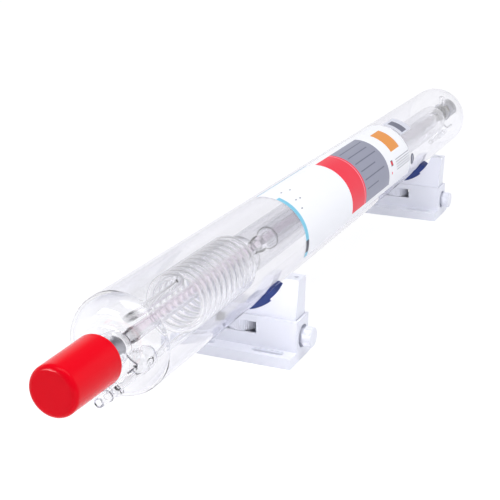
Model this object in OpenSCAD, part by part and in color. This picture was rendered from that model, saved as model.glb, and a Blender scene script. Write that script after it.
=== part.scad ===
// Sealed glass CO2 laser tube, lying in two adjustable plastic supports.
// Millimetres. X runs along the tube, output end towards -X. Z is up, and Z = 0 is the
// surface that the supports stand on. X = 0 is half way along the tube.

/* [Glass envelope] */
// Outside diameter of the gas jacket
jacket_d = 80; // [78:0.5:82]
// Length over the output head's cap and the rear mirror head
overall_l = 1050; // [1030:5:1100]
// Wall of the gas jacket
jacket_wall = 2.4; // [2:0.1:3]
// Radius of the jacket's rounded shoulders
shoulder_r = 16; // [12:1:20]
// Height of the tube's axis above the table
axis_z = 88; // [88:0.5:92]

/* [Inner glass] */
// Outside diameter of the discharge tube
discharge_d = 11.6; // [11:0.1:12]
// Bore of the discharge tube
discharge_bore = 7.6; // [6:0.2:8]
// Outside diameter of the water jacket
water_d = 38; // [34:1:38]
// Wall of the water jacket
water_wall = 1.6; // [1.4:0.1:2]
// Outside diameter of the inner sleeve
sleeve_d = 21.6; // [19:0.2:24]

/* [Gas return coil] */
// Radius of the coil, measured at the centre of its glass
coil_r = 22.7; // [22.7:0.1:26]
// Outside diameter of the coiled glass
coil_glass_d = 6.6; // [5:0.2:6.8]
// Bore of the coiled glass
coil_bore = 3.8; // [2:0.2:4]
// Advance of each turn
coil_pitch = 10.4; // [9:0.1:12]
// Number of turns
coil_turns = 10.5; // [6:0.5:10.5]

/* [Supports] */
// Place of the front support along the tube
front_support_x = -214; // [-260:1:-180]
// Place of the rear support along the tube
rear_support_x = 277; // [240:1:320]
// Width across the tube
support_w = 116; // [116:1:124]
// Depth of the foot along the tube
foot_depth = 61; // [60:1:70]
// Height of the box
box_h = 38.5; // [38:0.5:40]
// Length of each foot slot
slot_l = 28.5; // [20:0.5:32]

/* [Hidden] */
$fn = 96;

jacket_r = jacket_d / 2;
front_end = -overall_l / 2;          // front face of the cap
rear_end = overall_l / 2;            // rear face of the mirror ring
front_face = front_end + 76;         // flat of the front dome
rear_face = rear_end - 59;           // flat of the rear dome
neck_fillet = 5;
front_neck_r = 15;
front_neck_l = 20;
rear_neck_r = 10.2;
rear_neck_l = 34;
fit_gap = 0.05;                      // between glass and what is fused or glued to it
slide_gap = 0.3;                     // between pieces that slide by each other

// Output head
head_back = front_face - front_neck_l;
head_front = front_end + 6.5;
head_r = 16.8;
spigot_r = front_neck_r - jacket_wall - fit_gap;
spigot_l = 8;
beam_r = 5;
lens_r = 10;
lens_t = 3;
lens_seat = head_front + 15;         // the lens lies between here and the ring
ring_t = 6;
ring_bore_r = 8;

// Red cap
cap_l = 58;
cap_wall = 2;
cap_end_t = 2.5;
cap_edge_r = 4.5;
cap_bore_r = head_r + slide_gap;
cap_r = cap_bore_r + cap_wall;
cap_rim_r = cap_r + 0.6;

// Inner glass stations along X
discharge_r = discharge_d / 2;
discharge_front = front_face + 24;      // open to the gas that fills the envelope
discharge_rear = rear_face - 22;
water_front = -232;
water_rear = 431;
water_shoulder = 9;
sleeve_front = -166;
sleeve_rear = 416;
sleeve_wall = 1.4;
sleeve_shoulder = 3;
bead_x = -184;
bead_r = 8.2;

// Coil
coil_glass_r = coil_glass_d / 2;
coil_end = -241;                     // where the last turn bends in to the discharge tube
coil_start = coil_end - coil_turns * coil_pitch;
coil_steps = 18;                     // rings to a turn
coil_sides = 8;
bend_steps = 12;
leg_height = 14.8;                   // of the straight leg above the axis
leg_bend = coil_start - 16;          // where the leg straightens
leg_end = -424;

// Electrodes
guard_r = 11;                        // glass tube that stands round the cathode
guard_wall = 1.4;
guard_rear = front_face + 14;
cathode_r = 6.8;                     // thin sleeve round the beam
cathode_wall = 0.8;
cathode_rear = front_face + 8;
seat_l = 4;                          // of the guard and the cathode in the spigot
cathode_pin_y = -20;
cathode_pin_z = -9.2;
cathode_lead_x = front_face + 6;
seal_r = 1.9;                        // collar of glass round each pin where it leaves
seal_l = 3;
anode_r = rear_neck_r - jacket_wall - fit_gap;
anode_front = discharge_rear - 6;
anode_rear = rear_face + 8;
pin_r = 0.6;                         // where it passes through the glass
terminal_r = 0.8;                    // of its thicker end outside
anode_pin_r = 0.8;
anode_terminal_r = 1;
pin_reach = 10;                      // of each pin out from the dome
terminal_l = pin_reach - seal_l;
anode_pin_y = -16.8;
anode_pin_z = -14.2;
pin_bend = 3;
anode_lead_x = anode_front + 11.5;

// Water ports, one in each dome, with a nipple outside and a pipe inside
port_y = -4;
port_z = -29;
bulb_x = -407;                       // middle of the bulb that the front pipe swells to
bulb_l = 27;
bulb_r = 9.4;
bulb_y = -3;
bulb_z = -23;
bulb_wall = 1.2;
nipple_r = 4;
nipple_bore = 2.5;
nipple_l = 24;
nipple_sink = 5;                     // so that the whole foot meets the round shoulder
nipple_bead = 12;                    // from the open end to the swelling that grips a hose
pipe_r = 3;
pipe_bore = 2;
arm_r = 2.4;
arm_bore = 1.6;
front_arm_x = water_front + 14;      // where each pipe leads in to the water jacket
rear_arm_x = water_rear - 14;

// Sealed tip that the gas was let in by
tip_x = rear_end - 45;
tip_top = 24;

// Rear mirror head
mirror_front = rear_face + 28;
mirror_back = rear_end - 5;
mirror_r = 11.8;
mirror_disc_r = 9;
mirror_disc_t = 4;

// Labels, with angles measured up from the horizontal on the -Y side
film_t = 0.12;
label_low = -19.5;
label_high = 105;
front_label_x = [-162, -30];
main_label_x = [-29.8, 182];
serial_label_x = [187, 229];
serial_label_a = [49, 86];
sticker_x = 192;
sticker_a = 3;
sticker_r = 6.5;

// Support
half_w = support_w / 2;
foot_t = 9.8;
box_depth = 28.6;
box_wall = 2.4;
box_floor = 3;
corner_r = 1.2;
slot_w = 5.6;
slot_y = 33;
slot_x = (foot_depth + box_depth) / 4 - 1.6;
slot_rim = 2;
slot_rim_t = 1;
window_w = 38;
window_z = [21.6, 32.8];
recess_r = 10.5;
recess_z = 21;
recess_l = 7;
recess_wall = 2;
stud_r = 3;
run_gap = 0.06;                      // radial clearance of a turning shaft
knob_r = 9.4;
knob_flutes = 12;
wheel_r = 13.7;
wheel_gap = 0.3;
wheel_flutes = 40;
screw_r = 4;
screw_z = [5.5, 38.4];

// Yoke
yoke_base_z = 34.5;
yoke_top_z = 75.2;
yoke_half_base = half_w - box_wall - 0.6;
yoke_half_top = 56.6;
yoke_depth_base = 22.9;
yoke_depth_top = 16.4;
seat_r = jacket_r + 5;
pocket_r = jacket_r + 7;
pad_high = 35.4;                     // degrees below the horizontal
pad_step = 48;
pad_low = 76;
pad_gap = 0.08;
leg_y = [31, 47.5];
leg_foot_z = 5;
strap_y = 51;
strap_hole_r = 2.2;
strap_hole_l = 12;
far = 200;                           // larger than any piece of a support

// ---- shared shapes -------------------------------------------------------------

// Turns a shape drawn along Z so that it lies along the tube's axis.
module along_tube(x = 0) {
    translate([x, 0, axis_z]) rotate([0, 90, 0]) children();
}

// A solid or hollow round, from x0 to x1 along the tube's axis.
module round_bar(x0, x1, r, bore = 0) {
    along_tube(x0) difference() {
        cylinder(h = x1 - x0, r = r);
        if (bore > 0)
            translate([0, 0, -1]) cylinder(h = x1 - x0 + 2, r = bore);
    }
}

// Turns a shape drawn along Z so that it runs from the tube's axis towards y, z.
module outward(x, y, z) {
    translate([x, 0, axis_z]) rotate([-atan2(y, z), 0, 0]) children();
}

// Round bar that stands along Z from start, and at height reach has bent to run along -X.
// Its end, terminal_l long, is thicker.
module bent_bar(r, bend, reach, start, run, terminal_r, terminal_l) {
    translate([0, 0, start]) cylinder(h = reach - bend - start, r = r);
    translate([-bend, 0, reach - bend]) rotate([90, 0, 0]) rotate_extrude(angle = 90)
        translate([bend, 0]) circle(r = r);
    translate([-bend, 0, reach]) rotate([0, -90, 0]) cylinder(h = run - bend, r = r);
    translate([terminal_l - run, 0, reach]) rotate([0, -90, 0])
        cylinder(h = terminal_l, r = terminal_r);
}

// Keeps the half of a profile that lies on the right of the axis.
module right_half() {
    intersection() {
        children();
        translate([0, -2000]) square([500, 4000]);
    }
}

// One end of the envelope as a profile, with its face at height 0 and the neck above it.
// t shrinks it to the inner surface.
module dome_profile(neck_r, neck_l, t) {
    s = shoulder_r;
    right_half() difference() {
        union() {
            translate([0, -s - 60]) square([jacket_r - t, 60]);
            translate([0, -s]) square([jacket_r - s, s - t]);
            translate([jacket_r - s, -s]) circle(r = s - t);
            translate([0, -s]) square([neck_r - t, s + neck_l]);
            translate([0, -t]) square([neck_r + neck_fillet, neck_fillet + t]);
        }
        translate([neck_r + neck_fillet, neck_fillet]) circle(r = neck_fillet + t);
        translate([neck_r + neck_fillet, -t]) square([60, 60]);
        translate([neck_r - t, neck_fillet]) square([60, 60]);
    }
}

// The whole envelope's profile, front end down. t shrinks it to the inner surface and
// over lets the inner one run out past the necks.
module envelope_profile(t, over) {
    translate([0, rear_face]) dome_profile(rear_neck_r, rear_neck_l + over, t);
    translate([0, front_face]) mirror([0, 1])
        dome_profile(front_neck_r, front_neck_l + over, t);
    translate([0, front_face + shoulder_r])
        square([jacket_r - t, rear_face - front_face - 2 * shoulder_r]);
}

// A closed tube with rounded shoulders, as a profile from y0 to y1.
module capsule_profile(r, s, y0, y1) {
    right_half() union() {
        translate([0, y0 + s]) square([r, y1 - y0 - 2 * s]);
        translate([0, y0]) square([r - s, y1 - y0]);
        for (y = [y0 + s, y1 - s])
            translate([r - s, y]) circle(r = s);
    }
}

// A closed tube fused round the discharge tube at both of its ends.
module sleeve(r, wall, s, x0, x1) {
    along_tube() rotate_extrude() difference() {
        capsule_profile(r, s, x0, x1);
        capsule_profile(r - wall, s - wall, x0 + wall, x1 - wall);
        translate([0, x0 - 1]) square([discharge_r + fit_gap, x1 - x0 + 2]);
    }
}

// A film on the jacket between two places along X and two angles.
module film(xs, low, high) {
    along_tube(xs[0]) rotate([0, 0, 270 - high]) rotate_extrude(angle = high - low)
        translate([jacket_r, 0]) square([film_t, xs[1] - xs[0]]);
}

// ---- sealed glass --------------------------------------------------------------

module outer_jacket() {
    color([0.9, 0.92, 0.97, 0.35]) difference() {
        union() {
            along_tube() rotate_extrude() difference() {
                envelope_profile(0, 0);
                envelope_profile(jacket_wall, 1);
            }
            translate([0, cathode_pin_y, cathode_pin_z])
                round_bar(front_face - seal_l, front_face + 1, seal_r);
            translate([0, anode_pin_y, anode_pin_z])
                round_bar(rear_face - 1, rear_face + seal_l, seal_r);
        }
        translate([0, cathode_pin_y, cathode_pin_z])
            round_bar(front_face - 9, front_face + 9, pin_r + fit_gap);
        translate([0, anode_pin_y, anode_pin_z])
            round_bar(rear_face - 9, rear_face + 9, anode_pin_r + fit_gap);
        for (x = [front_face, rear_face])
            translate([0, port_y, port_z]) round_bar(x - 9, x + 9, nipple_bore);
        outward(tip_x, 0, 1) cylinder(h = rear_neck_r + 1, r = nipple_bore);
    }
}

module water_jacket() {
    color([0.88, 0.9, 0.97, 0.35])
        difference() {
            sleeve(water_d / 2, water_wall, water_shoulder, water_front, water_rear);
            for (x = [front_arm_x, rear_arm_x])
                outward(x, port_y, port_z) translate([0, 0, water_d / 2 - 2 * water_wall])
                    cylinder(h = 3 * water_wall, r = arm_bore);
        }
}

module inner_sleeve() {
    color([0.86, 0.88, 0.96, 0.35])
        sleeve(sleeve_d / 2, sleeve_wall, sleeve_shoulder, sleeve_front, sleeve_rear);
}

module discharge_tube() {
    color([0.85, 0.8, 0.9, 0.35]) difference() {
        union() {
            round_bar(discharge_front, discharge_rear, discharge_r);
            translate([bead_x, 0, axis_z]) sphere(r = bead_r);
        }
        round_bar(discharge_front - 1, discharge_rear + 1, discharge_bore / 2);
        outward(coil_in[0], coil_in[1], coil_in[2]) cylinder(h = discharge_d, r = coil_bore / 2);
    }
}

// Coil: centre line as a list of points, from the end of the straight leg to the
// discharge tube.
function turn_point(a) = [coil_start + coil_pitch * a / 360, coil_r * sin(a), coil_r * cos(a)];
function turn_heading(a) = unit([coil_pitch / (2 * PI * coil_r), cos(a), -sin(a)]);
function unit(v) = v / norm(v);
function bezier(p, t) = pow(1 - t, 3) * p[0] + 3 * t * pow(1 - t, 2) * p[1]
    + 3 * t * t * (1 - t) * p[2] + pow(t, 3) * p[3];

coil_first_a = 0;
coil_last_a = 360 * coil_turns;
coil_in_reach = 15;                  // how far the last turn runs on before it dips in
coil_in_a = coil_last_a + 100;       // angle at which it meets the discharge tube
coil_in = [coil_end + 2, sin(coil_in_a), cos(coil_in_a)];
lead_bend = [[leg_bend, 0, leg_height], [leg_bend + 11, 0, leg_height],
    turn_point(coil_first_a) - 13 * turn_heading(coil_first_a), turn_point(coil_first_a)];
tail_bend = [turn_point(coil_last_a),
    turn_point(coil_last_a) + coil_in_reach * turn_heading(coil_last_a),
    [coil_in[0], 17 * coil_in[1], 17 * coil_in[2]],
    [coil_in[0], 5.3 * coil_in[1], 5.3 * coil_in[2]]];
coil_path = concat(
    [for (x = [leg_end, (leg_end + leg_bend) / 2]) [x, 0, leg_height]],
    [for (i = [0 : bend_steps - 1]) bezier(lead_bend, i / bend_steps)],
    [for (i = [0 : coil_turns * coil_steps - 1]) turn_point(i * 360 / coil_steps)],
    [for (i = [0 : bend_steps]) bezier(tail_bend, i / bend_steps)]);

function heading(path, i) = unit(path[min(i + 1, len(path) - 1)] - path[max(i - 1, 0)]);
// Side direction at each point, carried along the path without twist.
function sides_of(path) = [for (i = 0, n = unit(cross(heading(path, 0), [0, 1, 0]));
    i < len(path);
    i = i + 1, h = heading(path, min(i, len(path) - 1)), n = unit(n - (n * h) * h)) n];
function ring_points(path, normals, r) = [for (i = [0 : len(path) - 1])
    let (n = normals[i], b = cross(heading(path, i), n))
    for (k = [0 : coil_sides - 1])
        path[i] + r * (cos(k * 360 / coil_sides) * n + sin(k * 360 / coil_sides) * b)];

// Quads between one ring and the next. Flip turns them to face the other way.
function wall_faces(rings, first, flip) = [for (i = [0 : rings - 2], k = [0 : coil_sides - 1])
    let (a = first + i * coil_sides + k,
        b = first + i * coil_sides + (k + 1) % coil_sides,
        quad = [a, b, b + coil_sides, a + coil_sides])
    flip ? [quad[3], quad[2], quad[1], quad[0]] : quad];
// Flat rim between the outer ring and the inner ring at one end.
function rim_faces(outer, inner, flip) = [for (k = [0 : coil_sides - 1])
    let (n = (k + 1) % coil_sides, quad = [outer + k, outer + n, inner + n, inner + k])
    flip ? [quad[3], quad[2], quad[1], quad[0]] : quad];

module gas_return_coil() {
    normals = sides_of(coil_path);
    rings = len(coil_path);
    bore_first = rings * coil_sides;
    last = (rings - 1) * coil_sides;
    color([0.86, 0.88, 0.95, 0.5]) translate([0, 0, axis_z]) polyhedron(
        points = concat(ring_points(coil_path, normals, coil_glass_r),
            ring_points(coil_path, normals, coil_bore / 2)),
        faces = concat(wall_faces(rings, 0, true), wall_faces(rings, bore_first, false),
            rim_faces(0, bore_first, false), rim_faces(last, bore_first + last, true)));
}

// ---- electrodes ----------------------------------------------------------------

// Glass tube seated in the spigot, open at its far end, with a hole for the pin.
module cathode_guard() {
    color([0.86, 0.88, 0.96, 0.35]) difference() {
        round_bar(head_back + spigot_l - seat_l, guard_rear, guard_r, guard_r - guard_wall);
        outward(cathode_lead_x, cathode_pin_y, cathode_pin_z)
            cylinder(h = guard_r + 1, r = pin_r + fit_gap);
    }
}

module cathode() {
    color([0.62, 0.63, 0.66]) round_bar(head_back + spigot_l - seat_l, cathode_rear,
        cathode_r, cathode_r - cathode_wall);
}

module cathode_pin() {
    reach = norm([cathode_pin_y, cathode_pin_z]);
    color([0.72, 0.72, 0.74]) difference() {
        outward(cathode_lead_x, cathode_pin_y, cathode_pin_z)
            bent_bar(pin_r, pin_bend, reach, cathode_r - 0.5,
                cathode_lead_x - front_face + pin_reach, terminal_r, terminal_l);
        round_bar(cathode_lead_x - 3, cathode_lead_x + 3, cathode_r);
    }
}

module anode() {
    color([0.45, 0.46, 0.5]) difference() {
        round_bar(anode_front, anode_rear, anode_r);
        round_bar(anode_front - 1, anode_rear + 1, discharge_bore / 2);
        round_bar(anode_front - 1, discharge_rear, discharge_r + fit_gap);
        for (i = [0 : 2])
            round_bar(anode_front + 8 + 5 * i, anode_front + 10 + 5 * i, anode_r + 1,
                anode_r - 0.8);
    }
}

module anode_pin() {
    color([0.72, 0.72, 0.74]) difference() {
        outward(anode_lead_x, anode_pin_y, anode_pin_z) mirror([1, 0, 0])
            bent_bar(anode_pin_r, pin_bend, norm([anode_pin_y, anode_pin_z]),
                anode_r - 1, rear_face + pin_reach - anode_lead_x, anode_terminal_r,
                terminal_l);
        round_bar(anode_lead_x - 3, anode_lead_x + 3, anode_r);
    }
}

// ---- optics at both ends ---------------------------------------------------------

module output_head() {
    color([0.78, 0.79, 0.82]) difference() {
        union() {
            round_bar(head_front, head_back, head_r);
            round_bar(head_back - 1, head_back + spigot_l, spigot_r);
        }
        round_bar(head_front - 1, head_back + spigot_l + 1, beam_r);
        round_bar(head_front - 1, lens_seat, lens_r + fit_gap);
        for (r = [guard_r, cathode_r])
            round_bar(head_back + spigot_l - seat_l, head_back + spigot_l + 1, r + fit_gap,
                r == guard_r ? guard_r - guard_wall - fit_gap : 0);
        for (i = [0 : 3])
            round_bar(head_front + 24 + 6 * i, head_front + 26 + 6 * i, head_r + 1, head_r - 1);
    }
}

module output_lens() {
    color([0.95, 0.75, 0.35]) round_bar(lens_seat - lens_t, lens_seat, lens_r);
}

module lens_ring() {
    color([0.25, 0.25, 0.27])
        round_bar(lens_seat - lens_t - ring_t, lens_seat - lens_t, lens_r, ring_bore_r);
}

module mirror_head() {
    color([0.25, 0.26, 0.3]) difference() {
        round_bar(mirror_front - 6, mirror_back, mirror_r);
        round_bar(mirror_front - 7, mirror_front + 6, rear_neck_r + fit_gap);
        round_bar(mirror_front - 7, mirror_back + 1, beam_r);
        round_bar(mirror_back - mirror_disc_t, mirror_back + 1, mirror_disc_r + fit_gap);
        for (i = [0 : 1])
            round_bar(mirror_front + 9 + 7 * i, mirror_front + 11 + 7 * i, mirror_r + 1,
                mirror_r - 1.2);
    }
}

module rear_mirror() {
    color([0.85, 0.72, 0.35])
        round_bar(mirror_back - mirror_disc_t, mirror_back, mirror_disc_r);
}

module mirror_ring() {
    color([0.3, 0.3, 0.33]) difference() {
        round_bar(mirror_back, rear_end, mirror_r);
        round_bar(mirror_back + 1.5, rear_end + 1, mirror_r - 4);
    }
}

// ---- water and gas fittings --------------------------------------------------------

// Hose nipple on a dome, standing along Z from inside the glass, with a rounded bead near
// its end and a foot that swells out at the glass.
module nipple() {
    l = nipple_sink + nipple_l;
    rotate_extrude() right_half() difference() {
        union() {
            square([nipple_r, l]);
            translate([nipple_r - 0.4, l - nipple_bead]) circle(r = 1.2);
            square([nipple_r + 1.5, nipple_sink + 1.5]);
        }
        translate([0, -1]) square([nipple_bore, l + 2]);
    }
}

module front_water_nipple() {
    color([0.88, 0.92, 0.97, 0.45]) difference() {
        translate([front_face + nipple_sink, port_y, axis_z + port_z])
            rotate([0, -90, 0]) nipple();
        along_tube() rotate_extrude() envelope_profile(0, 0);
    }
}

module rear_water_nipple() {
    color([0.88, 0.92, 0.97, 0.45]) difference() {
        translate([rear_face - nipple_sink, port_y, axis_z + port_z])
            rotate([0, 90, 0]) nipple();
        along_tube() rotate_extrude() envelope_profile(0, 0);
    }
}

// Round bar along Z from height 0 up to l, with a round end at -1.
module round_ended(r, l) {
    rotate_extrude() right_half() union() {
        translate([0, -1]) square([r, l + 1]);
        translate([0, -1]) circle(r = r);
    }
}

// Pipe from the glass of a dome, along the tube to a sealed end, with an arm there that
// leads in to the water jacket.
module pipe_run(dome_x, arm_x) {
    reach = norm([port_y, port_z]);
    run = abs(dome_x - arm_x);
    difference() {
        union() {
            pipe_place(dome_x, arm_x) round_ended(pipe_r, run);
            outward(arm_x, port_y, port_z) cylinder(h = reach, r = arm_r);
        }
        pipe_place(dome_x, arm_x) round_ended(pipe_bore, run + 1);
        outward(arm_x, port_y, port_z) cylinder(h = reach, r = arm_bore);
        round_bar(arm_x - 9, arm_x + 9, water_d / 2);
    }
}

// Stands a shape on its place on the pipe's line, turned towards the dome.
module pipe_place(dome_x, arm_x) {
    translate([arm_x, port_y, axis_z + port_z])
        rotate([0, dome_x < arm_x ? -90 : 90, 0]) children();
}

// Keeps what lies in the envelope.
module in_jacket() {
    intersection() {
        along_tube() rotate_extrude() envelope_profile(jacket_wall, 0);
        children();
    }
}

// Round-ended bulb that takes up the shock of the water. t shrinks it.
module water_bulb(t) {
    translate([0, bulb_y, bulb_z]) along_tube() rotate_extrude()
        capsule_profile(bulb_r - t, bulb_r - t - 0.5, bulb_x - bulb_l / 2 + t,
            bulb_x + bulb_l / 2 - t);
}

module front_water_pipe() {
    color([0.86, 0.88, 0.96, 0.4]) in_jacket() difference() {
        union() {
            pipe_run(front_face, front_arm_x);
            water_bulb(0);
        }
        water_bulb(bulb_wall);
        translate([0, port_y, port_z])
            round_bar(bulb_x - bulb_l / 2, bulb_x + bulb_l / 2, pipe_bore);
    }
}

module rear_water_pipe() {
    color([0.86, 0.88, 0.96, 0.4]) in_jacket() pipe_run(rear_face, rear_arm_x);
}

module gas_fill_tip() {
    color([0.88, 0.92, 0.97, 0.45]) difference() {
        outward(tip_x, 0, 1) rotate_extrude() right_half() difference() {
            union() {
                square([nipple_r, tip_top - nipple_r]);
                translate([0, tip_top - nipple_r]) circle(r = nipple_r);
            }
            square([nipple_bore, tip_top - nipple_r]);
            translate([0, tip_top - nipple_r]) circle(r = nipple_bore);
        }
        round_bar(tip_x - 10, tip_x + 10, rear_neck_r);
    }
}

module red_cap() {
    color([0.88, 0.02, 0.1]) along_tube() rotate_extrude() difference() {
        right_half() union() {
            translate([0, front_end + cap_edge_r])
                polygon([[0, 0], [cap_r, 0], [cap_rim_r, cap_l - cap_edge_r],
                    [0, cap_l - cap_edge_r]]);
            translate([0, front_end]) square([cap_r - cap_edge_r, cap_edge_r]);
            translate([cap_r - cap_edge_r, front_end + cap_edge_r]) circle(r = cap_edge_r);
        }
        translate([0, front_end + cap_end_t]) square([cap_bore_r, cap_l]);
    }
}

// ---- labels ------------------------------------------------------------------------

module front_label() {
    color([0.97, 0.97, 1]) film(front_label_x, label_low, label_high);
}

module main_label() {
    color([0.85, 0.15, 0.25]) film(main_label_x, label_low, label_high);
}

module serial_label() {
    color([0.6, 0.62, 0.72]) film(serial_label_x, serial_label_a[0], serial_label_a[1]);
}

// Round patch of film, bent to the jacket.
module round_sticker() {
    color([0.2, 0.2, 0.3]) intersection() {
        film([sticker_x - 10, sticker_x + 10], sticker_a - 20, sticker_a + 20);
        translate([sticker_x, 0, axis_z]) rotate([90 - sticker_a, 0, 0])
            cylinder(h = far, r = sticker_r);
    }
}

// ---- support -------------------------------------------------------------------------

// Rectangle with round corners, about the origin.
module round_rect(w, d, r) {
    square([w, d - 2 * r], center = true);
    square([w - 2 * r, d], center = true);
    for (x = [-1, 1], y = [-1, 1])
        translate([x * (w / 2 - r), y * (d / 2 - r)]) circle(r = r);
}

// Slot along Y, about the origin.
module slot(l, w) {
    square([w, l - w], center = true);
    for (y = [-1, 1])
        translate([0, y * (l - w) / 2]) circle(r = w / 2);
}

// Round bar along Y between two places.
module cross_bar(y0, y1, z, r) {
    translate([0, y0, z]) rotate([-90, 0, 0]) cylinder(h = y1 - y0, r = r);
}

module support_base() {
    inner_w = support_w - 2 * box_wall;
    inner_depth = box_depth - 2 * box_wall;
    color([0.93, 0.94, 0.97]) difference() {
        union() {
            linear_extrude(foot_t) round_rect(foot_depth, support_w, corner_r);
            linear_extrude(box_h) round_rect(box_depth, support_w, corner_r);
        }
        difference() {
            translate([-inner_depth / 2, -inner_w / 2, box_floor])
                cube([inner_depth, inner_w, box_h]);
            for (side = [0, 1]) mirror([0, side, 0])
                cross_bar(half_w - recess_l - recess_wall, half_w, recess_z,
                    recess_r + recess_wall);
        }
        for (side = [0, 1]) mirror([0, side, 0]) {
            cross_bar(half_w - recess_l, half_w + 1, recess_z, recess_r);
            cross_bar(half_w - recess_l - recess_wall - 1, half_w, recess_z, stud_r + run_gap);
        }
        translate([-box_depth, -window_w / 2, window_z[0]])
            cube([2 * box_depth, window_w, window_z[1] - window_z[0]]);
        for (x = [-1, 1], y = [-1, 1]) translate([x * slot_x, y * slot_y, 0]) {
            translate([0, 0, -1]) linear_extrude(foot_t + 2) slot(slot_l, slot_w);
            translate([0, 0, foot_t - slot_rim_t]) linear_extrude(foot_t)
                slot(slot_l + slot_rim, slot_w + slot_rim);
        }
    }
}

// Block that holds the yoke's front and rear faces: straight in the box, tapered above it.
module yoke_envelope() {
    translate([0, far / 2, 0]) rotate([90, 0, 0]) linear_extrude(far)
        polygon([[-yoke_depth_base / 2, 0], [yoke_depth_base / 2, 0],
            [yoke_depth_base / 2, box_h], [yoke_depth_top / 2, yoke_top_z],
            [-yoke_depth_top / 2, yoke_top_z], [-yoke_depth_base / 2, box_h]]);
}

// Sector between two radii about the tube's axis, on the side of +Y, with its angles in
// degrees below the horizontal.
module seat_sector(r0, r1, high, low) {
    translate([-far / 2, 0, axis_z]) rotate([0, 90, 0]) rotate([0, 0, 90 - low])
        rotate_extrude(angle = low - high) translate([r0, 0]) square([r1 - r0, far]);
}

module yoke_outline() {
    polygon([[-yoke_half_base, yoke_base_z], [yoke_half_base, yoke_base_z],
        [yoke_half_base, box_h], [yoke_half_top, yoke_top_z],
        [-yoke_half_top, yoke_top_z], [-yoke_half_base, box_h]]);
    for (y = [-leg_y[1], leg_y[0]])
        translate([y, leg_foot_z])
            square([leg_y[1] - leg_y[0], yoke_base_z - leg_foot_z + 1]);
}

module yoke() {
    color([0.93, 0.94, 0.97]) difference() {
        intersection() {
            yoke_envelope();
            translate([-far / 2, 0, 0]) rotate([90, 0, 90]) linear_extrude(far)
                yoke_outline();
        }
        translate([-far / 2, 0, axis_z]) rotate([0, 90, 0]) cylinder(h = far, r = seat_r);
        for (side = [0, 1]) mirror([0, side, 0]) {
            seat_sector(seat_r - 1, pocket_r, pad_step, pad_low);
            translate([0, strap_y, yoke_top_z - strap_hole_l])
                cylinder(h = strap_hole_l + 1, r = strap_hole_r);
            yoke_core();
        }
        translate([0, 0, yoke_base_z - 1]) cylinder(h = screw_z[1] - yoke_base_z + 1,
            r = screw_r + 0.02);
    }
}

// Hollow moulded from below into each leg and arm, in steps that follow the seat.
module yoke_core() {
    core_depth = 14;
    wall = 3;
    for (step = [[leg_foot_z - 1, leg_y[0] + wall, leg_y[1] - wall],
            [yoke_base_z + wall, leg_y[0] + wall, yoke_half_base - wall - 1]])
        translate([-core_depth / 2, step[1], step[0]])
            cube([core_depth, step[2] - step[1], 50 - step[0]]);
    translate([-core_depth / 2, 42.5, 49])
        cube([core_depth, yoke_half_base - wall - 42.5, 12]);
}

// Rubber pad on the side of +Y, stepped into its pocket in the yoke.
module rubber_pad() {
    color([0.05, 0.22, 0.5]) intersection() {
        yoke_envelope();
        union() {
            seat_sector(jacket_r + pad_gap, seat_r - pad_gap, pad_high, pad_step + 1);
            seat_sector(jacket_r + pad_gap, pocket_r - pad_gap, pad_step + 0.1,
                pad_low - 0.1);
        }
    }
}

module lift_wheel() {
    color([0.9, 0.91, 0.95])
        translate([0, 0, window_z[0] + wheel_gap]) difference() {
            linear_extrude(window_z[1] - window_z[0] - 2 * wheel_gap) difference() {
                circle(r = wheel_r);
                for (i = [0 : wheel_flutes - 1]) rotate(i * 360 / wheel_flutes)
                    translate([wheel_r + 0.3, 0]) circle(r = 0.75, $fn = 24);
            }
            translate([0, 0, -1]) cylinder(h = far, r = screw_r + run_gap);
        }
}

module lift_screw() {
    color([0.75, 0.76, 0.78]) translate([0, 0, screw_z[0]])
        cylinder(h = screw_z[1] - screw_z[0], r = screw_r);
}

// Locking knob on the side of +Y, with its stud through the floor of the recess.
module lock_knob() {
    y0 = half_w - recess_l + 0.5;
    rim_y = half_w + 3;
    end_y = half_w + 10.3;
    color([0.92, 0.93, 0.97]) difference() {
        translate([0, 0, recess_z]) rotate([-90, 0, 0]) rotate_extrude() union() {
            translate([0, leg_y[1] + 0.2]) square([stud_r, end_y - leg_y[1] - 2]);
            polygon([[0, y0], [6.6, y0], [6.6, half_w - 1], [knob_r, rim_y],
                [knob_r, end_y - 1], [knob_r - 1, end_y], [0, end_y]]);
        }
        for (i = [0 : knob_flutes - 1])
            translate([0, 0, recess_z]) rotate([0, i * 360 / knob_flutes, 0])
                translate([knob_r + 0.5, 0, 0]) cross_bar(half_w - 2, end_y + 1, 0, 1.1);
    }
}

// Puts a support's piece under the tube. side -1 turns it to the -Y side.
module at_support(x, side = 1) {
    translate([x, 0, 0]) mirror([0, side < 0 ? 1 : 0, 0]) children();
}

module front_base() { at_support(front_support_x) support_base(); }
module front_yoke() { at_support(front_support_x) yoke(); }
module front_left_pad() { at_support(front_support_x, -1) rubber_pad(); }
module front_right_pad() { at_support(front_support_x) rubber_pad(); }
module front_lift_wheel() { at_support(front_support_x) lift_wheel(); }
module front_lift_screw() { at_support(front_support_x) lift_screw(); }
module front_left_knob() { at_support(front_support_x, -1) lock_knob(); }
module front_right_knob() { at_support(front_support_x) lock_knob(); }
module rear_base() { at_support(rear_support_x) support_base(); }
module rear_yoke() { at_support(rear_support_x) yoke(); }
module rear_left_pad() { at_support(rear_support_x, -1) rubber_pad(); }
module rear_right_pad() { at_support(rear_support_x) rubber_pad(); }
module rear_lift_wheel() { at_support(rear_support_x) lift_wheel(); }
module rear_lift_screw() { at_support(rear_support_x) lift_screw(); }
module rear_left_knob() { at_support(rear_support_x, -1) lock_knob(); }
module rear_right_knob() { at_support(rear_support_x) lock_knob(); }

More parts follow.
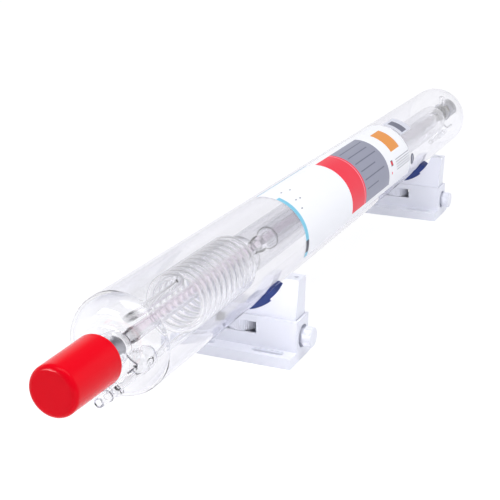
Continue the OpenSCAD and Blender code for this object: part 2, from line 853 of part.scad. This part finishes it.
outer_jacket();
water_jacket();
inner_sleeve();
discharge_tube();
gas_return_coil();
cathode_guard();
cathode();
cathode_pin();
anode();
anode_pin();
output_head();
output_lens();
lens_ring();
mirror_head();
rear_mirror();
mirror_ring();
front_water_nipple();
front_water_pipe();
rear_water_nipple();
rear_water_pipe();
gas_fill_tip();
red_cap();
front_label();
main_label();
serial_label();
round_sticker();
front_base();
front_yoke();
front_left_pad();
front_right_pad();
front_lift_wheel();
front_lift_screw();
front_left_knob();
front_right_knob();
rear_base();
rear_yoke();
rear_left_pad();
rear_right_pad();
rear_lift_wheel();
rear_lift_screw();
rear_left_knob();
rear_right_knob();
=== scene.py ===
"""Sealed glass CO2 laser tube in two plastic supports: its finishes, lights and camera.

Metres, in the row's own frame: X along the tube, Z up, the table at Z = 0.
"""

import math

import bmesh
import bpy
from mathutils import Matrix, Vector


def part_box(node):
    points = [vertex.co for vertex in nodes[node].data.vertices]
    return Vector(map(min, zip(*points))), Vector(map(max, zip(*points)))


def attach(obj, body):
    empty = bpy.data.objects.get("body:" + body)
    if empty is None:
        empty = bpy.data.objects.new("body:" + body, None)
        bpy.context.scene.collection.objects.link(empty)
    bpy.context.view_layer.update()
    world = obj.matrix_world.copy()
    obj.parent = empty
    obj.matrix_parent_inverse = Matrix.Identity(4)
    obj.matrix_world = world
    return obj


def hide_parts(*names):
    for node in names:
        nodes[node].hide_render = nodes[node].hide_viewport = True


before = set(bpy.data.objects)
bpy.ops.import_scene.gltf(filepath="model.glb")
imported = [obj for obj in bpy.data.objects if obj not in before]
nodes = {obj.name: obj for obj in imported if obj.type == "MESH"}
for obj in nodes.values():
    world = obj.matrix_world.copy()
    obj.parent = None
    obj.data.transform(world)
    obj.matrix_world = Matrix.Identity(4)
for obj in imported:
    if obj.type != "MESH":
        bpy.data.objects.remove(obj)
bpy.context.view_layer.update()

MM = 0.001

# ---- places read from the frame ----------------------------------------------------------

jacket_low, jacket_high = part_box("outer_jacket")
AXIS_Z = (jacket_low.z + jacket_high.z) / 2
JACKET_R = (jacket_high.z - jacket_low.z) / 2

# ---- small helpers ------------------------------------------------------------------------


def srgb(red, green, blue):
    """A colour as it is seen, 0 to 255 each, in the linear numbers that shaders take."""
    def linear(value):
        value /= 255
        return value / 12.92 if value <= 0.04045 else ((value + 0.055) / 1.055) ** 2.4
    return (linear(red), linear(green), linear(blue), 1.0)


class Tree:
    """Makes one material's nodes."""

    def __init__(self, name):
        self.material = bpy.data.materials.new(name)
        self.material.use_nodes = True
        self.nodes = self.material.node_tree.nodes
        self.links = self.material.node_tree.links
        self.nodes.clear()
        self.output = self.nodes.new("ShaderNodeOutputMaterial")

    def node(self, kind, inputs=None, **settings):
        """A node of that kind, with its settings, its plain inputs and its links."""
        made = self.nodes.new("ShaderNode" + kind)
        for key, value in settings.items():
            setattr(made, key, value)
        for key, value in (inputs or {}).items():
            if isinstance(value, bpy.types.NodeSocket):
                self.links.new(value, made.inputs[key])
            else:
                made.inputs[key].default_value = value
        return made

    def math(self, operation, first, second=0.0, third=0.0):
        """The result of a Math node."""
        made = self.node("Math", {0: first, 1: second, 2: third}, operation=operation)
        return made.outputs[0]

    def mix(self, share, first, second):
        """A colour between first and second."""
        made = self.node("Mix", data_type="RGBA")
        for name, value in (("Factor_Float", share), ("A_Color", first), ("B_Color", second)):
            socket = next(s for s in made.inputs if s.identifier == name)
            if isinstance(value, bpy.types.NodeSocket):
                self.links.new(value, socket)
            else:
                socket.default_value = value
        return next(s for s in made.outputs if s.identifier == "Result_Color")

    def place(self):
        """The point on the piece, in the row's frame."""
        return self.node("TexCoord").outputs["Object"]

    def noise(self, scale, detail=3.0, roughness=0.5, at=None):
        """Noise from 0 to 1 with that many waves to a metre."""
        return self.node("TexNoise", {"Vector": at or self.place(), "Scale": scale,
                                      "Detail": detail, "Roughness": roughness}).outputs[0]

    def between(self, value, low, high, soft):
        """1 where value is from low to high, with edges soft wide."""
        over = self.node("MapRange", {"Value": value, "From Min": low - soft,
                                      "From Max": low + soft}).outputs[0]
        under = self.node("MapRange", {"Value": value, "From Min": high + soft,
                                       "From Max": high - soft}).outputs[0]
        return self.math("MULTIPLY", over, under)

    def ranged(self, value, low, high):
        """value, which is from 0 to 1, stretched to run from low to high."""
        return self.node("MapRange", {"Value": value, "To Min": low, "To Max": high}).outputs[0]

    def bump(self, height, depth, strength=1.0):
        """A normal bent by height, which is from 0 to 1 for depth metres."""
        return self.node("Bump", {"Height": height, "Distance": depth,
                                  "Strength": strength}).outputs[0]

    def surface(self, shader):
        self.links.new(shader, self.output.inputs["Surface"])
        return self.material


def dress(material, *names):
    """Gives CAD nodes that material."""
    for name in names:
        mesh = nodes[name].data
        mesh.materials.clear()
        mesh.materials.append(material)


# ---- finishes ----------------------------------------------------------------------------

MELTED_LENGTH = 0.014
# Height above the axis where the painted pink light starts, and the softness of its border.
PAINTED_LIGHT_FROM = 0.0018
PAINTED_LIGHT_SOFT = 0.0003


def glass(name, tint, density, edge_shade, edge_shade_power=4.0, shadow=0.96, melted_end=None, painted_pink_light=None):
    """Clear glass whose body tints what is seen through it. Lamps shine through it.

    edge_shade is painted shade: a darker colour mixed in where the glass is seen at a grazing
    angle, in place of the dim studio that real glass reflects there. A higher edge_shade_power
    keeps that nearer the rim.

    melted_end is where an open end starts: the look fades in from there over MELTED_LENGTH,
    so that the cut end doesn't show as a dark ring. The mesh keeps its full wall.
    painted_pink_light is painted light: a pink colour laid on the half that lies above the axis.
    """
    t = Tree(name)
    spot = t.node("SeparateXYZ", {0: t.place()})
    colour = (1, 1, 1, 1)
    # Painted light: pink on the half above the axis only.
    if painted_pink_light:
        height = t.math("SUBTRACT", spot.outputs["Z"], AXIS_Z)
        colour = t.mix(t.between(height, PAINTED_LIGHT_FROM, JACKET_R, PAINTED_LIGHT_SOFT), colour, painted_pink_light)
    # Painted shade: the colour turns towards edge_shade as the surface turns away from view.
    turned_away = t.node("LayerWeight", {"Blend": 0.5}).outputs["Facing"]
    rim = t.math("POWER", turned_away, edge_shade_power)
    colour = t.mix(rim, colour, edge_shade)
    body = t.node("BsdfPrincipled", {"Base Color": colour, "Roughness": 0.0,
                                     "IOR": 1.474, "Transmission Weight": 1.0})
    open_way = t.node("BsdfTransparent", {"Color": (shadow, shadow, shadow, 1)})
    clear = t.node("LightPath").outputs["Is Shadow Ray"]
    if melted_end is not None:
        thin = t.node("MapRange", {"Value": spot.outputs["X"], "From Min": melted_end,
                                   "From Max": melted_end + MELTED_LENGTH,
                                   "To Min": 1.0, "To Max": 0.0}).outputs[0]
        clear = t.math("MAXIMUM", clear, thin)
    mixed = t.node("MixShader", {0: clear, 1: body.outputs[0], 2: open_way.outputs[0]})
    absorb = t.node("VolumeAbsorption", {"Color": tint, "Density": density})
    t.links.new(absorb.outputs[0], t.output.inputs["Volume"])
    return t.surface(mixed.outputs[0])


def moulded_plastic(name, colour):
    """Satin injection-moulded plastic with a fine sparked grain."""
    t = Tree(name)
    grain = t.noise(2600, detail=2)
    cloud = t.noise(38, detail=3)
    shade = t.mix(t.ranged(cloud, 0.0, 0.25), colour, tuple(0.93 * c for c in colour[:3]) + (1,))
    body = t.node("BsdfPrincipled", {
        "Base Color": shade, "Roughness": t.ranged(cloud, 0.3, 0.42), "IOR": 1.5,
        "Normal": t.bump(grain, 0.00002, 0.35)})
    return t.surface(body.outputs[0])


def rubber(name, colour):
    """Matte moulded rubber with a dusty bloom."""
    t = Tree(name)
    bloom = t.noise(160, detail=4)
    grain = t.noise(1500, detail=2)
    shade = t.mix(t.ranged(bloom, 0.0, 0.15), colour, srgb(30, 76, 150))
    body = t.node("BsdfPrincipled", {
        "Base Color": shade, "Roughness": t.ranged(bloom, 0.5, 0.75),
        "Sheen Weight": 0.15, "Sheen Roughness": 0.5, "Normal": t.bump(grain, 0.00005, 0.5)})
    return t.surface(body.outputs[0])


def vinyl(name, colour, deep):
    """Dipped vinyl: glossy and a little uneven, deeper in colour where it ran thick."""
    t = Tree(name)
    sag = t.noise(22, detail=2)
    shade = t.mix(t.ranged(sag, 0.0, 0.2), colour, deep)
    body = t.node("BsdfPrincipled", {
        "Base Color": shade, "Roughness": t.ranged(sag, 0.16, 0.24), "IOR": 1.53,
        "Specular IOR Level": 0.09, "Normal": t.bump(sag, 0.0004, 0.5)})
    return t.surface(body.outputs[0])


def turned_metal(name, colour, roughness, pitch):
    """Metal turned on a lathe, with its fine rings of tool marks round the tube's axis."""
    t = Tree(name)
    rings = t.node("TexWave", {"Vector": t.place(), "Scale": 1 / pitch, "Distortion": 0.6,
                               "Detail": 1.0}, wave_type="BANDS",
                   bands_direction="X").outputs["Fac"]
    stain = t.noise(120, detail=4)
    shade = t.mix(t.ranged(stain, 0.0, 0.3), colour, tuple(0.7 * c for c in colour[:3]) + (1,))
    body = t.node("BsdfPrincipled", {
        "Base Color": shade, "Metallic": 1.0, "Anisotropic": 0.4,
        "Roughness": t.ranged(stain, roughness, roughness + 0.12),
        "Normal": t.bump(rings, 0.00001, 0.3)})
    return t.surface(body.outputs[0])


def threaded_steel(name, pitch):
    """Zinc-plated screw with its thread as ridges round the axis."""
    t = Tree(name)
    ridges = t.node("TexWave", {"Vector": t.place(), "Scale": 0.314 / pitch},
                    wave_type="BANDS", bands_direction="Z").outputs["Fac"]
    body = t.node("BsdfPrincipled", {
        "Base Color": srgb(190, 192, 198), "Metallic": 1.0,
        "Roughness": t.ranged(t.noise(200), 0.25, 0.4), "Normal": t.bump(ridges, 0.0008, 0.9)})
    return t.surface(body.outputs[0])


def coated_optic(name, colour, roughness):
    """Polished optic with a metal-like coating, with a faint cloud in it."""
    t = Tree(name)
    cloud = t.noise(150)
    shade = t.mix(t.ranged(cloud, 0.0, 0.15), colour, srgb(200, 120, 40))
    body = t.node("BsdfPrincipled", {"Base Color": shade, "Metallic": 1.0,
                                     "Roughness": t.ranged(cloud, roughness, roughness + 0.04)})
    return t.surface(body.outputs[0])


class Print(Tree):
    """Printed film on the jacket: plain fields laid out by place along the tube and angle."""

    SOFT_X = 0.00015
    SOFT_ANGLE = 0.25
    SKIN = 0.00011  # past JACKET_R, between the film's inner and outer face

    def __init__(self, name, paper):
        super().__init__(name)
        spot = self.node("SeparateXYZ", {0: self.place()})
        self.x = spot.outputs["X"]
        up = self.math("SUBTRACT", spot.outputs["Z"], AXIS_Z)
        out = self.math("MULTIPLY", spot.outputs["Y"], -1.0)
        self.angle = self.math("DEGREES", self.math("ARCTAN2", up, out))
        self.colour = paper

    def field(self, x0, x1, low, high, colour):
        """Adds a plain field, in millimetres along the tube and degrees above -Y."""
        along = self.between(self.x, x0 * MM, x1 * MM, self.SOFT_X)
        around = self.between(self.angle, low, high, self.SOFT_ANGLE)
        self.colour = self.mix(self.math("MULTIPLY", along, around), self.colour, colour)

    def film(self):
        """The finished material: satin film with a faint ripple and an unprinted back.

        Its inner face lies on the glass, so it lets light by, and the outer face has both looks.
        """
        ripple = self.noise(45, detail=2)
        spot = self.node("SeparateXYZ", {0: self.place()})
        up = self.math("SUBTRACT", spot.outputs["Z"], AXIS_Z)
        out = spot.outputs["Y"]
        reach = self.math("SQRT", self.math("ADD", self.math("MULTIPLY", up, up),
                                            self.math("MULTIPLY", out, out)))
        back = self.math("LESS_THAN", reach, JACKET_R + self.SKIN)
        inside = self.node("NewGeometry").outputs["Backfacing"]
        shade = self.mix(inside, self.colour, PAPER)
        body = self.node("BsdfPrincipled", {
            "Base Color": shade, "Roughness": self.ranged(ripple, 0.32, 0.42),
            "Specular IOR Level": 0.25,
            "Normal": self.bump(ripple, 0.0002, 0.3)})
        through = self.node("BsdfTransparent")
        mixed = self.node("MixShader", {0: back, 1: body.outputs[0], 2: through.outputs[0]})
        return self.surface(mixed.outputs[0])


PAPER = srgb(252, 252, 255)
CYAN = srgb(128, 204, 230)
BLUE_LINE = srgb(110, 180, 210)
RED = srgb(246, 16, 56)
PALE_RED = srgb(255, 150, 170)
GREY = srgb(148, 150, 168)
DARK_GREY = srgb(104, 106, 126)
INK = srgb(60, 60, 78)
ORANGE = srgb(238, 148, 46)

SPECKS = ((-141, 81), (-126, 77), (-140, 59), (-131, 58), (-144, 45))
PANEL_BARS = ((22, 92), (22, 84), (22, 90), (22, 70), (22, 88), (22, 60))
PANEL_TOP, PANEL_STEP = 80, 14
LINE_TOP, LINE_STEP, LINES = 21.5, 4.1, 5


def front_label_print():
    """White film with a pale blue frame line along its top and round its front."""
    t = Print("front_print", PAPER)
    t.field(-162, -155, -19.5, 76, CYAN)
    t.field(-162, -155, -12, 4.6, INK)
    t.field(-161, -32, 103.5, 105.5, BLUE_LINE)
    for x, angle in SPECKS:
        t.field(x - 1.6, x + 1.6, angle - 0.8, angle + 0.8, DARK_GREY)
    return t.film()


def main_label_print():
    """White film with a red band, a grey panel of plain bars and an orange patch."""
    t = Print("main_print", PAPER)
    t.field(-29, 16, -10, 92.5, RED)
    t.field(11, 12.5, -10, 92.5, PALE_RED)
    t.field(16, 99, -10, 92.5, GREY)
    for i, (start, end) in enumerate(PANEL_BARS):
        angle = PANEL_TOP - PANEL_STEP * i
        t.field(start, end, angle - 0.9, angle + 0.9, DARK_GREY)
    t.field(126, 158, 36, 80, ORANGE)
    t.field(111, 118, 15.5, 24.5, INK)
    t.field(112, 117, 17, 23, RED)
    t.field(109.3, 112, 3, 7, RED)
    for i in range(LINES):
        angle = LINE_TOP - LINE_STEP * i
        t.field(129, 181, angle - 0.5, angle + 0.5, DARK_GREY)
    return t.film()


def serial_print():
    """Grey film with one dark bar."""
    t = Print("serial_print", srgb(222, 223, 234))
    t.field(196, 214, 52, 81, DARK_GREY)
    return t.film()


def sticker_print():
    """Dark sticker with a paler middle."""
    t = Print("sticker_print", srgb(90, 92, 110))
    t.field(191, 194, -3, 9, srgb(176, 178, 196))
    return t.film()


# ---- gas return coil, wound smooth ---------------------------------------------------------

# Millimetres, with y and z from the tube's axis. The route is the one that the CAD node takes.
COIL_R = 22.7
COIL_GLASS_R = 3.3
COIL_BORE_R = 1.9
COIL_PITCH = 10.4
COIL_TURNS = 10.5
COIL_END = -241.0
COIL_START = COIL_END - COIL_TURNS * COIL_PITCH
LEG_HEIGHT = 14.8
LEG_BEND = COIL_START - 16
LEG_END = -424.0
COIL_SIDES = 24
STEPS_A_TURN = 60
STEPS_A_BEND = 30
STEPS_A_LEG = 6
STEPS_A_RIM = 6
LEG_PULL = 11     # reach of each control point of the two bends
LEAD_PULL = 13
TAIL_PULL = 15
FOOT_PULL = 17
FOOT_R = 5.3      # where the coil meets the discharge tube
FOOT_AHEAD = 2    # of COIL_END
FOOT_TURN = 100   # degrees on from the last turn


def turn_point(turn):
    """Place on the winding after that many turns."""
    angle = 2 * math.pi * turn
    return Vector((COIL_START + COIL_PITCH * turn, COIL_R * math.sin(angle),
                   COIL_R * math.cos(angle)))


def turn_heading(turn):
    """Direction of the winding after that many turns."""
    angle = 2 * math.pi * turn
    return Vector((COIL_PITCH / (2 * math.pi * COIL_R), math.cos(angle),
                   -math.sin(angle))).normalized()


def bezier(points, t):
    """Place at share t along the curve with those four control points."""
    a, b, c, d = points
    u = 1 - t
    return u ** 3 * a + 3 * t * u * u * b + 3 * t * t * u * c + t ** 3 * d


def coil_route():
    """Centre line from the open end of the straight leg to the discharge tube."""
    lead = (Vector((LEG_BEND, 0, LEG_HEIGHT)), Vector((LEG_BEND + LEG_PULL, 0, LEG_HEIGHT)),
            turn_point(0) - LEAD_PULL * turn_heading(0), turn_point(0))
    last = math.radians(360 * COIL_TURNS + FOOT_TURN)
    way_in = Vector((0, math.sin(last), math.cos(last)))
    foot = Vector((COIL_END + FOOT_AHEAD, 0, 0))
    tail = (turn_point(COIL_TURNS),
            turn_point(COIL_TURNS) + TAIL_PULL * turn_heading(COIL_TURNS),
            foot + FOOT_PULL * way_in, foot + FOOT_R * way_in)
    route = [Vector((LEG_END + (LEG_BEND - LEG_END) * i / STEPS_A_LEG, 0, LEG_HEIGHT))
             for i in range(STEPS_A_LEG)]
    route += [bezier(lead, i / STEPS_A_BEND) for i in range(STEPS_A_BEND)]
    steps = int(COIL_TURNS * STEPS_A_TURN)
    route += [turn_point(i / STEPS_A_TURN) for i in range(steps)]
    route += [bezier(tail, i / STEPS_A_BEND) for i in range(STEPS_A_BEND + 1)]
    return route


def glass_pipe(name, route, outer, bore, sides):
    """A pipe along route, open at both ends, with its first rim melted round."""
    headings = [(route[min(i + 1, len(route) - 1)] - route[max(i - 1, 0)]).normalized()
                for i in range(len(route))]
    side = headings[0].cross(Vector((0, 1, 0))).normalized()
    frames = []
    for ahead in headings:
        side = (side - side.dot(ahead) * ahead).normalized()
        frames.append((side, ahead.cross(side)))
    middle, half = (outer + bore) / 2, (outer - bore) / 2
    rings = [(i, 0, outer) for i in range(len(route))]
    rings += [(i, 0, bore) for i in reversed(range(len(route)))]
    for i in range(1, STEPS_A_RIM):
        turn = math.pi * i / STEPS_A_RIM
        rings.append((0, -half * math.sin(turn), middle - half * math.cos(turn)))
    mesh = bmesh.new()
    made = []
    for i, ahead, radius in rings:
        across, along = frames[i]
        centre = route[i] + ahead * headings[i]
        made.append([mesh.verts.new(
            (centre + radius * (math.cos(2 * math.pi * k / sides) * across
                                + math.sin(2 * math.pi * k / sides) * along)) * MM
            + Vector((0, 0, AXIS_Z))) for k in range(sides)])
    for first, second in zip(made, made[1:] + made[:1]):
        for k in range(sides):
            n = (k + 1) % sides
            mesh.faces.new((first[k], first[n], second[n], second[k])).smooth = True
    bmesh.ops.recalc_face_normals(mesh, faces=mesh.faces)
    data = bpy.data.meshes.new(name)
    mesh.to_mesh(data)
    mesh.free()
    piece = bpy.data.objects.new(name, data)
    bpy.context.scene.collection.objects.link(piece)
    return piece


def make_coil(material):
    """The smooth coil, in place of the faceted one."""
    coil = glass_pipe("spiral_gas_return", coil_route(), COIL_GLASS_R, COIL_BORE_R, COIL_SIDES)
    coil.data.materials.append(material)
    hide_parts("gas_return_coil")
    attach(coil, "cradle")


# ---- studio --------------------------------------------------------------------------------


STUDIO_LIGHT = 0.74
STUDIO_DIM = 0.04
FLOOR_SIZE = 6
FLOOR_DROP = 0.0002
FLOOR_GLOW = 1.2
FLOOR_WHITE_SHARE = 0.7
PHOTOGRAPHER = (-0.87, -0.37, 0.31)
DIM_FROM, DIM_FULL = 0.1, 0.45
OVERHEAD_FROM, OVERHEAD_FULL = 0.35, 0.6
OVERHEAD_SHARE = 0.85


def floor_material():
    """White floor: white to the camera and in glass and metal, apart from a soft shadow."""
    t = Tree("floor_white")
    lit = t.node("BsdfDiffuse", {"Color": (0.9, 0.9, 0.92, 1)})
    white = t.node("Emission", {"Color": (1, 1, 1, 1), "Strength": FLOOR_GLOW})
    ray = t.node("LightPath")
    seen = t.math("MAXIMUM", ray.outputs["Is Camera Ray"],
                  t.math("MAXIMUM", ray.outputs["Is Glossy Ray"],
                         ray.outputs["Is Transmission Ray"]))
    share = t.math("MULTIPLY", seen, FLOOR_WHITE_SHARE)
    mixed = t.node("MixShader", {0: share, 1: lit.outputs[0], 2: white.outputs[0]})
    return t.surface(mixed.outputs[0])


def make_floor():
    """The floor, under the supports' feet."""
    mesh = bpy.data.meshes.new("floor")
    b = bmesh.new()
    bmesh.ops.create_grid(b, x_segments=1, y_segments=1, size=FLOOR_SIZE)
    b.to_mesh(mesh)
    b.free()
    floor = bpy.data.objects.new("floor", mesh)
    floor.location = (0, 0, -FLOOR_DROP)
    mesh.materials.append(floor_material())
    bpy.context.scene.collection.objects.link(floor)


def make_world():
    """White behind everything, a plain soft light on it, and in glass and metal a studio
    that is white all round but dim overhead and where the photographer stands."""
    world = bpy.data.worlds.new("studio")
    world.use_nodes = True
    tree = world.node_tree
    tree.nodes.clear()

    def node(kind, inputs, **settings):
        made = tree.nodes.new("ShaderNode" + kind)
        for key, value in settings.items():
            setattr(made, key, value)
        for key, value in inputs.items():
            if isinstance(value, bpy.types.NodeSocket):
                tree.links.new(value, made.inputs[key])
            else:
                made.inputs[key].default_value = value
        return made

    ray = node("LightPath", {})
    white = node("Background", {"Color": (1, 1, 1, 1), "Strength": 1.0})
    light = node("Background", {"Color": (0.93, 0.95, 1.0, 1), "Strength": STUDIO_LIGHT})
    dim = node("Background", {"Color": (0.9, 0.9, 1.0, 1), "Strength": STUDIO_DIM})
    way = node("TexCoord", {}).outputs["Generated"]
    towards = node("VectorMath", {0: way, 1: PHOTOGRAPHER}, operation="DOT_PRODUCT")
    share = node("MapRange", {"Value": towards.outputs["Value"], "From Min": DIM_FROM,
                              "From Max": DIM_FULL}, interpolation_type="SMOOTHSTEP")
    up = node("SeparateXYZ", {0: way}).outputs["Z"]
    overhead = node("MapRange", {"Value": up, "From Min": OVERHEAD_FROM,
                                 "From Max": OVERHEAD_FULL, "To Max": OVERHEAD_SHARE},
                    interpolation_type="SMOOTHSTEP")
    share = node("Math", {0: share.outputs[0], 1: overhead.outputs[0]}, operation="MAXIMUM")
    around = node("MixShader", {0: share.outputs[0], 1: white.outputs[0], 2: dim.outputs[0]})
    seen = node("MixShader", {0: ray.outputs["Is Camera Ray"], 1: around.outputs[0],
                              2: white.outputs[0]})
    both = node("MixShader", {0: ray.outputs["Is Diffuse Ray"], 1: seen.outputs[0],
                              2: light.outputs[0]})
    node("OutputWorld", {"Surface": both.outputs[0]})
    bpy.context.scene.world = world


def make_lamp(name, place, target, size, power):
    """A softbox at place that faces target."""
    data = bpy.data.lights.new(name, "AREA")
    data.shape = "RECTANGLE"
    data.size, data.size_y = size
    data.energy = power
    lamp = bpy.data.objects.new(name, data)
    lamp.location = place
    lamp.rotation_mode = "QUATERNION"
    lamp.rotation_quaternion = (Vector(target) - Vector(place)).to_track_quat("-Z", "Y")
    bpy.context.scene.collection.objects.link(lamp)
    return lamp


# ---- camera ---------------------------------------------------------------------------------

CAMERA_PLACE = Vector((-1.099, -0.3852, 0.4110))
CAMERA_YAW = math.radians(23.169)
CAMERA_PITCH = math.radians(18.246)
CAMERA_ROLL = math.radians(0.475)
CAMERA_LENS = 82.8
CAMERA_SENSOR = 36.0


def make_camera():
    """The camera, where the photographer stood."""
    ahead = Vector((math.cos(CAMERA_YAW) * math.cos(CAMERA_PITCH),
                    math.sin(CAMERA_YAW) * math.cos(CAMERA_PITCH), -math.sin(CAMERA_PITCH)))
    level = Vector((math.sin(CAMERA_YAW), -math.cos(CAMERA_YAW), 0))
    above = level.cross(ahead)
    right = level * math.cos(CAMERA_ROLL) + above * math.sin(CAMERA_ROLL)
    up = above * math.cos(CAMERA_ROLL) - level * math.sin(CAMERA_ROLL)
    data = bpy.data.cameras.new("camera")
    data.lens = CAMERA_LENS
    data.sensor_width = CAMERA_SENSOR
    data.clip_start, data.clip_end = 0.01, 50
    camera = bpy.data.objects.new("camera", data)
    turn = Matrix((right, up, -ahead)).transposed()
    camera.matrix_world = Matrix.Translation(CAMERA_PLACE) @ turn.to_4x4()
    bpy.context.scene.collection.objects.link(camera)
    bpy.context.scene.camera = camera


# ---- the scene ------------------------------------------------------------------------------

make_camera()
make_floor()
make_world()
make_lamp("key", (-0.4, -0.3, 1.3), (0, 0, 0.05), (1.4, 0.7), 7.6)
# The softbox is there for its reflection on the front dome. It gives no diffuse light, but
# satin plastic and the cap still reflect it.
softbox = make_lamp("front_softbox", (-1.2, 0.43, 0.32), (-0.47, 0, 0.09), (0.34, 0.3), 9)
softbox.visible_diffuse = False

SUPPORTS = ("front", "rear")
GLASS_BOUNCES = 40
GLOSSY_BOUNCES = 8
SCREW_PITCH = 0.003
# The last colour given to each glass is its painted shade at the rims.
clear_glass = glass("clear_glass", srgb(212, 211, 230), 28, srgb(200, 198, 219))
thin_glass = glass("thin_glass", srgb(215, 215, 236), 25, srgb(170, 168, 188))
coil_glass = glass("coil_glass", srgb(226, 225, 238), 25, srgb(70, 68, 86), 5.0,
                   melted_end=LEG_END * MM)
# The discharge tube's pink on its upper half is painted light.
tube_glass = glass("tube_glass", srgb(225, 222, 236), 35, srgb(120, 112, 132), 5.0,
                   painted_pink_light=srgb(255, 247, 252), melted_end=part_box("discharge_tube")[0].x)
make_coil(coil_glass)
dress(clear_glass, "outer_jacket", "front_water_nipple", "rear_water_nipple", "gas_fill_tip")
dress(thin_glass, "water_jacket", "inner_sleeve", "cathode_guard", "front_water_pipe",
      "rear_water_pipe")
dress(tube_glass, "discharge_tube")
dress(turned_metal("nickel", srgb(172, 172, 180), 0.25, 0.0004), "cathode", "cathode_pin",
      "anode_pin")
dress(turned_metal("dark_nickel", srgb(104, 106, 118), 0.3, 0.0004), "anode")
dress(turned_metal("head_metal", srgb(196, 198, 206), 0.22, 0.0005), "output_head")
dress(turned_metal("black_anodised", srgb(60, 62, 72), 0.35, 0.0005), "lens_ring")
dress(turned_metal("worn_anodised", srgb(132, 134, 148), 0.3, 0.0005), "mirror_head",
      "mirror_ring")
dress(coated_optic("lens_coating", srgb(238, 196, 110), 0.03), "output_lens")
dress(coated_optic("gold_mirror", srgb(236, 200, 120), 0.02), "rear_mirror")
dress(vinyl("red_vinyl", srgb(244, 0, 28), srgb(216, 0, 24)), "red_cap")
dress(front_label_print(), "front_label")
dress(main_label_print(), "main_label")
dress(serial_print(), "serial_label")
dress(sticker_print(), "round_sticker")
white_plastic = moulded_plastic("white_plastic", srgb(243, 244, 252))
blue_rubber = rubber("blue_rubber", srgb(0, 42, 120))
zinc = threaded_steel("zinc_thread", SCREW_PITCH)
for end in SUPPORTS:
    dress(white_plastic, *[f"{end}_{piece}" for piece in
                           ("base", "yoke", "lift_wheel", "left_knob", "right_knob")])
    dress(blue_rubber, f"{end}_left_pad", f"{end}_right_pad")
    dress(zinc, f"{end}_lift_screw")

scene = bpy.context.scene
scene.view_settings.view_transform = "Standard"
scene.cycles.max_bounces = GLASS_BOUNCES
scene.cycles.transmission_bounces = GLASS_BOUNCES
scene.cycles.glossy_bounces = GLOSSY_BOUNCES
scene.cycles.transparent_max_bounces = GLASS_BOUNCES
